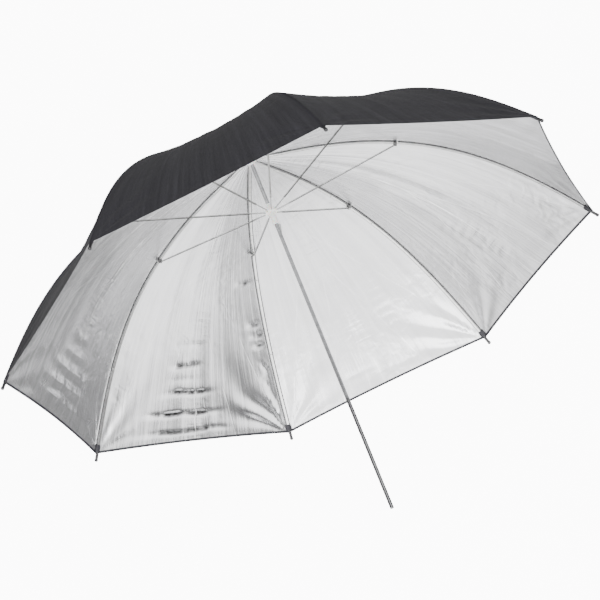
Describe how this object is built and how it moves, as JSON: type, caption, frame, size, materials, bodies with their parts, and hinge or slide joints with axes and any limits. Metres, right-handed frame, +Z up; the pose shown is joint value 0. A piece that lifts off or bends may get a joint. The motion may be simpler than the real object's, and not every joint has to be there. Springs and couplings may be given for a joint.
{
  "type": "umbrella reflector",
  "caption": "Folding photographic umbrella reflector: black cloth with a silver inner face on steel ribs, opened by a sliding runner on a slim chromed shaft.",
  "frame": {"origin": "on the shaft's axis at the middle of the stretch that a stand's umbrella holder clamps, 90 mm from the free end", "axes": "+Y along the shaft towards the crown, so the open silver side faces -Y; +Z up through the first rib; +X to the side the latch faces"},
  "size_m": [1.3034, 0.8642, 1.3034],
  "materials": {
    "shaft_chrome": "polished tube",
    "wire_steel": "drawn wire",
    "latch_steel": "bright spring steel",
    "notch_plastic": "moulded, off-white",
    "runner_plastic": "moulded, off-white",
    "washer_plastic": "satin black",
    "cap_plastic": "moulded, black",
    "joint_steel": "plated pressing",
    "tip_plastic": "moulded, black",
    "canopy_cloth": "silver-coated inside, black outside",
    "stretcher_steel": "plated channel",
    "rib_steel": "plated channel"
  },
  "bodies": {
    "shaft": {"shaft": "shaft_chrome", "top_notch": "notch_plastic", "notch_wire": "wire_steel", "crown_washer": "washer_plastic", "crown_cap": "cap_plastic"},
    "runner": {"runner": "runner_plastic", "runner_wire": "wire_steel"},
    "latch": {"latch_spring": "latch_steel"},
    "rib_1": {"rib_1": "rib_steel", "rib_1_joint": "joint_steel"},
    "rib_1_outer": {"rib_1_outer": "rib_steel", "rib_1_tip": "tip_plastic", "canopy_1": "canopy_cloth"},
    "stretcher_1": {"stretcher_1": "stretcher_steel"},
    "rib_2": {"rib_2": "rib_steel", "rib_2_joint": "joint_steel"},
    "rib_2_outer": {"rib_2_outer": "rib_steel", "rib_2_tip": "tip_plastic", "canopy_2": "canopy_cloth"},
    "stretcher_2": {"stretcher_2": "stretcher_steel"},
    "rib_3": {"rib_3": "rib_steel", "rib_3_joint": "joint_steel"},
    "rib_3_outer": {"rib_3_outer": "rib_steel", "rib_3_tip": "tip_plastic", "canopy_3": "canopy_cloth"},
    "stretcher_3": {"stretcher_3": "stretcher_steel"},
    "rib_4": {"rib_4": "rib_steel", "rib_4_joint": "joint_steel"},
    "rib_4_outer": {"rib_4_outer": "rib_steel", "rib_4_tip": "tip_plastic", "canopy_4": "canopy_cloth"},
    "stretcher_4": {"stretcher_4": "stretcher_steel"},
    "rib_5": {"rib_5": "rib_steel", "rib_5_joint": "joint_steel"},
    "rib_5_outer": {"rib_5_outer": "rib_steel", "rib_5_tip": "tip_plastic", "canopy_5": "canopy_cloth"},
    "stretcher_5": {"stretcher_5": "stretcher_steel"},
    "rib_6": {"rib_6": "rib_steel", "rib_6_joint": "joint_steel"},
    "rib_6_outer": {"rib_6_outer": "rib_steel", "rib_6_tip": "tip_plastic", "canopy_6": "canopy_cloth"},
    "stretcher_6": {"stretcher_6": "stretcher_steel"},
    "rib_7": {"rib_7": "rib_steel", "rib_7_joint": "joint_steel"},
    "rib_7_outer": {"rib_7_outer": "rib_steel", "rib_7_tip": "tip_plastic", "canopy_7": "canopy_cloth"},
    "stretcher_7": {"stretcher_7": "stretcher_steel"},
    "rib_8": {"rib_8": "rib_steel", "rib_8_joint": "joint_steel"},
    "rib_8_outer": {"rib_8_outer": "rib_steel", "rib_8_tip": "tip_plastic", "canopy_8": "canopy_cloth"},
    "stretcher_8": {"stretcher_8": "stretcher_steel"}
  },
  "joints": [
    {"name": "runner_slide", "type": "slide", "parent": "shaft", "child": "runner", "axis": [0, -1, 0], "range_m": [0, 0.47235], "deforming": ["latch_spring"]},
    {"name": "latch_press", "type": "hinge", "parent": "shaft", "child": "latch", "pos_m": [0.00245, 0.52, 0], "axis": [0, 0, 1], "range_deg": [0, 3.8], "stiffness_Nm_per_rad": 0.9},
    {"name": "rib_1_fold", "type": "hinge", "parent": "shaft", "child": "rib_1", "pos_m": [0, 0.754, 0.0095], "axis": [1, 0, 0], "range_deg": [0, 77.93]},
    {"name": "rib_1_flex", "type": "hinge", "parent": "rib_1", "child": "rib_1_outer", "pos_m": [0, 0.70042, 0.3117], "axis": [-1, 0, 0], "range_deg": [0, 28.68], "deforming": ["canopy_1"]},
    {"name": "stretcher_1_swing", "type": "hinge", "parent": "rib_1", "child": "stretcher_1", "pos_m": [0, 0.69701, 0.30456], "axis": [-1, 0, 0], "range_deg": [0, 153.19]},
    {"name": "rib_2_fold", "type": "hinge", "parent": "shaft", "child": "rib_2", "pos_m": [0.00672, 0.754, 0.00672], "axis": [0.7071, 0, -0.7071], "range_deg": [0, 77.93]},
    {"name": "rib_2_flex", "type": "hinge", "parent": "rib_2", "child": "rib_2_outer", "pos_m": [0.22041, 0.70042, 0.22041], "axis": [-0.7071, 0, 0.7071], "range_deg": [0, 28.68], "deforming": ["canopy_2"]},
    {"name": "stretcher_2_swing", "type": "hinge", "parent": "rib_2", "child": "stretcher_2", "pos_m": [0.21536, 0.69701, 0.21536], "axis": [-0.7071, 0, 0.7071], "range_deg": [0, 153.19]},
    {"name": "rib_3_fold", "type": "hinge", "parent": "shaft", "child": "rib_3", "pos_m": [0.0095, 0.754, 0], "axis": [0, 0, -1], "range_deg": [0, 77.93]},
    {"name": "rib_3_flex", "type": "hinge", "parent": "rib_3", "child": "rib_3_outer", "pos_m": [0.3117, 0.70042, 0], "axis": [0, 0, 1], "range_deg": [0, 28.68], "deforming": ["canopy_3"]},
    {"name": "stretcher_3_swing", "type": "hinge", "parent": "rib_3", "child": "stretcher_3", "pos_m": [0.30456, 0.69701, 0], "axis": [0, 0, 1], "range_deg": [0, 153.19]},
    {"name": "rib_4_fold", "type": "hinge", "parent": "shaft", "child": "rib_4", "pos_m": [0.00672, 0.754, -0.00672], "axis": [-0.7071, 0, -0.7071], "range_deg": [0, 77.93]},
    {"name": "rib_4_flex", "type": "hinge", "parent": "rib_4", "child": "rib_4_outer", "pos_m": [0.22041, 0.70042, -0.22041], "axis": [0.7071, 0, 0.7071], "range_deg": [0, 28.68], "deforming": ["canopy_4"]},
    {"name": "stretcher_4_swing", "type": "hinge", "parent": "rib_4", "child": "stretcher_4", "pos_m": [0.21536, 0.69701, -0.21536], "axis": [0.7071, 0, 0.7071], "range_deg": [0, 153.19]},
    {"name": "rib_5_fold", "type": "hinge", "parent": "shaft", "child": "rib_5", "pos_m": [0, 0.754, -0.0095], "axis": [-1, 0, 0], "range_deg": [0, 77.93]},
    {"name": "rib_5_flex", "type": "hinge", "parent": "rib_5", "child": "rib_5_outer", "pos_m": [0, 0.70042, -0.3117], "axis": [1, 0, 0], "range_deg": [0, 28.68], "deforming": ["canopy_5"]},
    {"name": "stretcher_5_swing", "type": "hinge", "parent": "rib_5", "child": "stretcher_5", "pos_m": [0, 0.69701, -0.30456], "axis": [1, 0, 0], "range_deg": [0, 153.19]},
    {"name": "rib_6_fold", "type": "hinge", "parent": "shaft", "child": "rib_6", "pos_m": [-0.00672, 0.754, -0.00672], "axis": [-0.7071, 0, 0.7071], "range_deg": [0, 77.93]},
    {"name": "rib_6_flex", "type": "hinge", "parent": "rib_6", "child": "rib_6_outer", "pos_m": [-0.22041, 0.70042, -0.22041], "axis": [0.7071, 0, -0.7071], "range_deg": [0, 28.68], "deforming": ["canopy_6"]},
    {"name": "stretcher_6_swing", "type": "hinge", "parent": "rib_6", "child": "stretcher_6", "pos_m": [-0.21536, 0.69701, -0.21536], "axis": [0.7071, 0, -0.7071], "range_deg": [0, 153.19]},
    {"name": "rib_7_fold", "type": "hinge", "parent": "shaft", "child": "rib_7", "pos_m": [-0.0095, 0.754, 0], "axis": [0, 0, 1], "range_deg": [0, 77.93]},
    {"name": "rib_7_flex", "type": "hinge", "parent": "rib_7", "child": "rib_7_outer", "pos_m": [-0.3117, 0.70042, 0], "axis": [0, 0, -1], "range_deg": [0, 28.68], "deforming": ["canopy_7"]},
    {"name": "stretcher_7_swing", "type": "hinge", "parent": "rib_7", "child": "stretcher_7", "pos_m": [-0.30456, 0.69701, 0], "axis": [0, 0, -1], "range_deg": [0, 153.19]},
    {"name": "rib_8_fold", "type": "hinge", "parent": "shaft", "child": "rib_8", "pos_m": [-0.00672, 0.754, 0.00672], "axis": [0.7071, 0, 0.7071], "range_deg": [0, 77.93]},
    {"name": "rib_8_flex", "type": "hinge", "parent": "rib_8", "child": "rib_8_outer", "pos_m": [-0.22041, 0.70042, 0.22041], "axis": [-0.7071, 0, -0.7071], "range_deg": [0, 28.68], "deforming": ["canopy_8"]},
    {"name": "stretcher_8_swing", "type": "hinge", "parent": "rib_8", "child": "stretcher_8", "pos_m": [-0.21536, 0.69701, 0.21536], "axis": [-0.7071, 0, -0.7071], "range_deg": [0, 153.19]}
  ],
  "couplings": [
    {"joint": "rib_1_fold", "follows": "runner_slide", "rad_per_m": 2.8793},
    {"joint": "rib_1_flex", "follows": "runner_slide", "rad_per_m": 1.0595},
    {"joint": "stretcher_1_swing", "follows": "runner_slide", "rad_per_m": 5.6604},
    {"joint": "rib_2_fold", "follows": "runner_slide", "rad_per_m": 2.8793},
    {"joint": "rib_2_flex", "follows": "runner_slide", "rad_per_m": 1.0595},
    {"joint": "stretcher_2_swing", "follows": "runner_slide", "rad_per_m": 5.6604},
    {"joint": "rib_3_fold", "follows": "runner_slide", "rad_per_m": 2.8793},
    {"joint": "rib_3_flex", "follows": "runner_slide", "rad_per_m": 1.0595},
    {"joint": "stretcher_3_swing", "follows": "runner_slide", "rad_per_m": 5.6604},
    {"joint": "rib_4_fold", "follows": "runner_slide", "rad_per_m": 2.8793},
    {"joint": "rib_4_flex", "follows": "runner_slide", "rad_per_m": 1.0595},
    {"joint": "stretcher_4_swing", "follows": "runner_slide", "rad_per_m": 5.6604},
    {"joint": "rib_5_fold", "follows": "runner_slide", "rad_per_m": 2.8793},
    {"joint": "rib_5_flex", "follows": "runner_slide", "rad_per_m": 1.0595},
    {"joint": "stretcher_5_swing", "follows": "runner_slide", "rad_per_m": 5.6604},
    {"joint": "rib_6_fold", "follows": "runner_slide", "rad_per_m": 2.8793},
    {"joint": "rib_6_flex", "follows": "runner_slide", "rad_per_m": 1.0595},
    {"joint": "stretcher_6_swing", "follows": "runner_slide", "rad_per_m": 5.6604},
    {"joint": "rib_7_fold", "follows": "runner_slide", "rad_per_m": 2.8793},
    {"joint": "rib_7_flex", "follows": "runner_slide", "rad_per_m": 1.0595},
    {"joint": "stretcher_7_swing", "follows": "runner_slide", "rad_per_m": 5.6604},
    {"joint": "rib_8_fold", "follows": "runner_slide", "rad_per_m": 2.8793},
    {"joint": "rib_8_flex", "follows": "runner_slide", "rad_per_m": 1.0595},
    {"joint": "stretcher_8_swing", "follows": "runner_slide", "rad_per_m": 5.6604}
  ]
}
